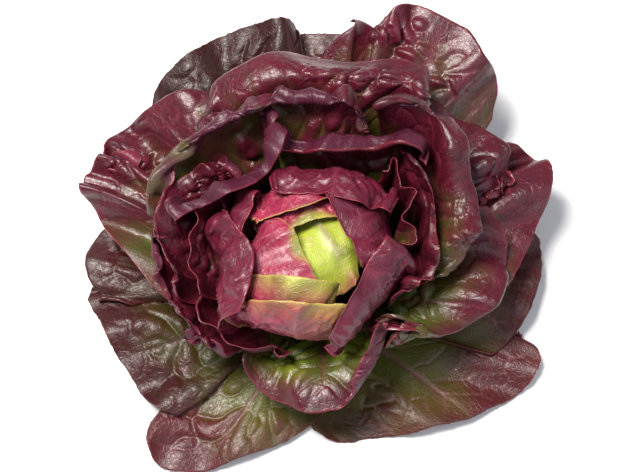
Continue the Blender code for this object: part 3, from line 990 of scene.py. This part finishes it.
    def bumps(
        self,
        tree: bpy.types.NodeTree,
        net_line: bpy.types.NodeSocket,
        fine_line: bpy.types.NodeSocket,
        mottle: bpy.types.NodeSocket,
    ) -> bpy.types.NodeSocket:
        """Raise or sink the small veins, and roughen the skin between them.

        Args:
            tree: The node tree.
            net_line: The net of small veins.
            fine_line: The finest net.
            mottle: Clouds a few millimetres wide.

        Returns:
            The bent normal.
        """
        out = 1.0 if self.face is Face.UNDER else -1.0
        nets = {0: self.scaled(tree, net_line, 0.6 * out), 1: self.scaled(tree, fine_line, 0.25 * out)}
        height = add_node(tree, "Math", nets, operation="ADD").outputs[0]
        rough = {0: height, 1: self.scaled(tree, mottle, 1.2)}
        height = add_node(tree, "Math", rough, operation="ADD").outputs[0]
        bump = {"Height": height, "Strength": 0.55, "Distance": self.bump_mm * MM}
        return add_node(tree, "Bump", bump).outputs["Normal"]

    def gloss(self, tree: bpy.types.NodeTree, mottle: bpy.types.NodeSocket) -> bpy.types.NodeSocket:
        """Vary the roughness with the clouds.

        Args:
            tree: The node tree.
            mottle: Clouds a few millimetres wide.

        Returns:
            The roughness.
        """
        low, high = self.roughness - 0.07, self.roughness + 0.1
        span = {"Value": mottle, "From Min": 0.3, "From Max": 0.7, "To Min": low, "To Max": high}
        return add_node(tree, "MapRange", span).outputs[0]


# Wine-red skin with a waxy bloom: glossy, with sharp lights on its blisters.
BURGUNDY = LeafFinish(
    name="waxy_burgundy_leaf_skin", face=Face.INNER, green="#4c5a1a", red="#5a1426", deep="#24060d",
    vein="#803646", rim="#8c2c3c", glow="#98b42a", roughness=0.28, coat=0.3,
)
# The same leaf from below: matt and violet, because it has little wax.
BURGUNDY_UNDER = LeafFinish(
    name="matt_violet_leaf_underside", face=Face.UNDER, green="#5f7036", red="#521a30", deep="#300e1c",
    vein="#764656", rim="#8c2c44", glow="#98b42a", roughness=0.38, coat=0.1,
)
# Older skin of the low leaves, dulled and browned by the sun, with clear pale veins.
BROWN_GREEN = LeafFinish(
    name="dull_brown_green_leaf_skin", face=Face.INNER, green="#58601a", red="#54181c", deep="#280b0e",
    vein="#84585c", rim="#7c282e", glow="#90a040", roughness=0.33, coat=0.12, vein_strength=0.6,
)
# Its underside: dry, grey-green and almost without shine.
BROWN_GREEN_UNDER = LeafFinish(
    name="matt_grey_green_leaf_underside", face=Face.UNDER, green="#6a7440", red="#60363c", deep="#44222c",
    vein="#83706a", rim="#783038", glow="#90a040", roughness=0.46, coat=0.05,
)
# Young skin of the heart: thin enough to let light through, and pale where none reached it.
MAGENTA = LeafFinish(
    name="thin_magenta_leaf_skin", face=Face.INNER, green="#839c26", red="#942440", deep="#500f25",
    vein="#c88a92", rim="#d0b060", glow="#c2d23c", roughness=0.31, coat=0.3,
    vein_strength=0.35, bump_mm=0.4, light_through=0.2,
)
# The outer face of a folded heart leaf, a little pinker.
MAGENTA_UNDER = LeafFinish(
    name="thin_pink_leaf_underside", face=Face.UNDER, green="#839c28", red="#a02a4a", deep="#560f28",
    vein="#d096a0", rim="#d6bc68", glow="#c6d640", roughness=0.32, coat=0.3,
    vein_strength=0.35, bump_mm=0.4, light_through=0.2,
)
# Thicker skin of the leaves folded over the heart: darker, waxy and glossy.
CRIMSON = LeafFinish(
    name="waxy_crimson_leaf_skin", face=Face.INNER, green="#4e5e1a", red="#66142a", deep="#300813",
    vein="#8c4654", rim="#982e40", glow="#a8c030", roughness=0.28, coat=0.32,
)
# Its outer face, with a satin shine.
CRIMSON_UNDER = LeafFinish(
    name="satin_crimson_leaf_underside", face=Face.UNDER, green="#5c6c28", red="#6a1a32", deep="#380b1a",
    vein="#90485a", rim="#9c344a", glow="#a8c030", roughness=0.30, coat=0.3,
)


@dataclass
class Layer:
    """One layer of the head: leaves that grow alike and share their finishes."""

    title: str
    leaves: tuple[Leaf, ...]
    habit: Habit
    inner: LeafFinish
    under: LeafFinish
    slot: str
    pieces: list[bpy.types.Object] = field(default_factory=list)

    def build(self, nesting: Nesting, finished: list[np.ndarray], first_seed: int) -> None:
        """Make this layer's leaves round those already finished.

        Args:
            nesting: The nested cages of all leaves so far.
            finished: The backs of the finished leaves, which grows with each one.
            first_seed: The pattern number of the layer's first leaf.
        """
        inner, under = self.inner.material(), self.under.material()
        for index, leaf in enumerate(self.leaves):
            habit = OWN_HABITS.get(leaf.name, self.habit)
            sheet = Sheet(leaf, habit, nesting.add(leaf), first_seed + 31 * index)
            sheet.crease()
            sheet.clear(tree_of(finished) if finished else None)
            finished.append(sheet.back())
            piece = make_leaf(sheet, inner, under)
            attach(piece, "root")
            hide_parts(leaf.name)
            self.pieces.append(piece)
            log.info("%s: %s, %d faces", self.title, piece.name, len(piece.data.polygons))


@dataclass
class Stem:
    """The cut stem that every leaf grows out of."""

    sides: int = 48
    rings: int = 10

    def build(self) -> bpy.types.Object:
        """Draw the stem up from its cut, ring by ring, to its narrow top.

        Returns:
            The stem.
        """
        deselect()
        bpy.ops.mesh.primitive_circle_add(vertices=self.sides, radius=STEM_RADIUS * MM, fill_type="NGON")
        piece = bpy.context.object
        piece.name = "stem_skin"
        bpy.ops.object.mode_set(mode="EDIT")
        bpy.ops.mesh.select_all(action="SELECT")
        radius = STEM_RADIUS
        for ring in range(1, self.rings + 1):
            wanted = stem_radius(STEM_HEIGHT * ring / self.rings)
            lift = (0, 0, STEM_HEIGHT / self.rings * MM)
            bpy.ops.mesh.extrude_region_move(TRANSFORM_OT_translate={"value": lift})
            bpy.ops.transform.resize(value=(wanted / radius, wanted / radius, 1))
            radius = wanted
        bpy.ops.mesh.select_all(action="SELECT")
        bpy.ops.mesh.normals_make_consistent(inside=False)
        bpy.ops.object.mode_set(mode="OBJECT")
        bpy.ops.object.shade_smooth_by_angle(angle=math.radians(50))
        piece.data.materials.append(self.finish())
        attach(piece, "root")
        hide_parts("stem")
        log.info("stem: %d faces", len(piece.data.polygons))
        return piece

    def finish(self) -> bpy.types.Material:
        """Pale green stem flesh, browned at the cut where its milk has dried.

        Returns:
            The material.
        """
        material = bpy.data.materials.new("pale_stem_flesh")
        material.use_nodes = True
        tree = material.node_tree
        shader = tree.nodes["Principled BSDF"]
        spot = add_node(tree, "TexCoord").outputs["Object"]
        noise = add_node(tree, "TexNoise", {"Vector": spot, "Scale": 180.0, "Detail": 5.0})
        height = add_node(tree, "SeparateXYZ", {"Vector": spot}).outputs["Z"]
        browned = {"Value": height, "From Min": 0.0, "From Max": 0.002, "To Min": 0.7, "To Max": 0.0}
        cut = add_node(tree, "MapRange", browned).outputs[0]
        flesh = {"Fac": noise.outputs["Fac"], "Color1": linear("#dfe0b4"), "Color2": linear("#b9c47c")}
        body = add_node(tree, "MixRGB", flesh).outputs[0]
        body = add_node(tree, "MixRGB", {"Fac": cut, "Color1": body, "Color2": linear("#a8743f")})
        bump = add_node(tree, "Bump", {"Height": noise.outputs["Fac"], "Strength": 0.4, "Distance": 0.0006})
        tree.links.new(body.outputs[0], shader.inputs["Base Color"])
        tree.links.new(bump.outputs["Normal"], shader.inputs["Normal"])
        shader.inputs["Roughness"].default_value = 0.5
        return material


@dataclass
class Studio:
    """A white table in soft light, seen from above its front."""

    elevation: float = 68.0
    distance: float = 0.95
    target: tuple[float, float, float] = (0.0, 0.024, 0.05)
    width_seen: float = 0.384

    def build(self) -> None:
        """Set up the camera, the floor and the lights."""
        tilt = math.radians(self.elevation)
        back = Vector((0.0, -math.cos(tilt), math.sin(tilt)))
        camera = bpy.data.cameras.new("camera")
        camera.sensor_width = 36.0
        camera.lens = 36.0 * self.distance / self.width_seen
        camera.clip_start = 0.01
        stand = bpy.data.objects.new("camera", camera)
        stand.location = Vector(self.target) + back * self.distance
        stand.rotation_euler = (-back).to_track_quat("-Z", "Y").to_euler()
        bpy.context.scene.collection.objects.link(stand)
        bpy.context.scene.camera = stand

        deselect()
        bpy.ops.mesh.primitive_plane_add(size=6.0)
        floor = bpy.context.object
        floor.name = "floor"
        paper = bpy.data.materials.new("white_table")
        paper.use_nodes = True
        shader = paper.node_tree.nodes["Principled BSDF"]
        shader.inputs["Base Color"].default_value = linear("#fafbfc")
        shader.inputs["Roughness"].default_value = 0.9
        shader.inputs["Specular IOR Level"].default_value = 0.1
        floor.data.materials.append(paper)

        self.lamp("window_light", (-0.42, 0.12, 1.35), 0.50, 35.0, "#fffaf4")
        self.lamp("fill_light", (0.7, -0.6, 1.0), 1.4, 6.0, "#eaf0ff")
        world = bpy.data.worlds.new("sky")
        world.use_nodes = True
        sky = world.node_tree.nodes["Background"]
        sky.inputs["Color"].default_value = linear("#f8f6f8")
        sky.inputs["Strength"].default_value = 0.28
        bpy.context.scene.world = world
        bpy.context.scene.view_settings.view_transform = "Standard"

    def lamp(
        self, name: str, spot: tuple[float, float, float], size: float, power: float, colour: str
    ) -> None:
        """Hang a square soft lamp that points at the head.

        Args:
            name: The lamp's name.
            spot: Where it hangs.
            size: The side of its square.
            power: Its power in watts.
            colour: Its colour as sRGB hex.
        """
        light = bpy.data.lights.new(name, "AREA")
        light.size = size
        light.energy = power
        light.color = linear(colour)[:3]
        stand = bpy.data.objects.new(name, light)
        stand.location = spot
        stand.rotation_euler = (Vector((0, 0, 0.05)) - Vector(spot)).to_track_quat("-Z", "Y").to_euler()
        bpy.context.scene.collection.objects.link(stand)


def corners(box: tuple) -> list[list[float]]:
    """A box's two corners as plain lists."""
    return [list(corner) for corner in box]


def main() -> None:
    """Build the head from the heart outwards, then the studio."""
    logging.basicConfig(level=logging.INFO, format="%(message)s")
    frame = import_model()
    log.info("frame: %d nodes", len(frame["nodes"]))
    layers = (
        Layer("heart", HEART_LEAVES, HEART_HABIT, MAGENTA, MAGENTA_UNDER, "heart_leaf"),
        Layer("wrapping leaves", WRAPPING_LEAVES, WRAPPING_HABIT, CRIMSON, CRIMSON_UNDER, "heart_leaf"),
        Layer("inner leaves", INNER_LEAVES, INNER_HABIT, BURGUNDY, BURGUNDY_UNDER, "inner_leaf"),
        Layer("standing leaves", STANDING_LEAVES, STANDING_HABIT, BURGUNDY, BURGUNDY_UNDER, "standing_leaf"),
        Layer("low leaves", LOW_LEAVES, LOW_HABIT, BROWN_GREEN, BROWN_GREEN_UNDER, "low_leaf"),
    )
    nesting = Nesting()
    finished: list[np.ndarray] = []
    for number, layer in enumerate(layers):
        layer.build(nesting, finished, 1000 * (number + 1))
        log.info("%s: %d leaves", layer.title, len(layer.pieces))
    Stem().build()
    Studio().build()


if __name__ == "__main__":
    main()
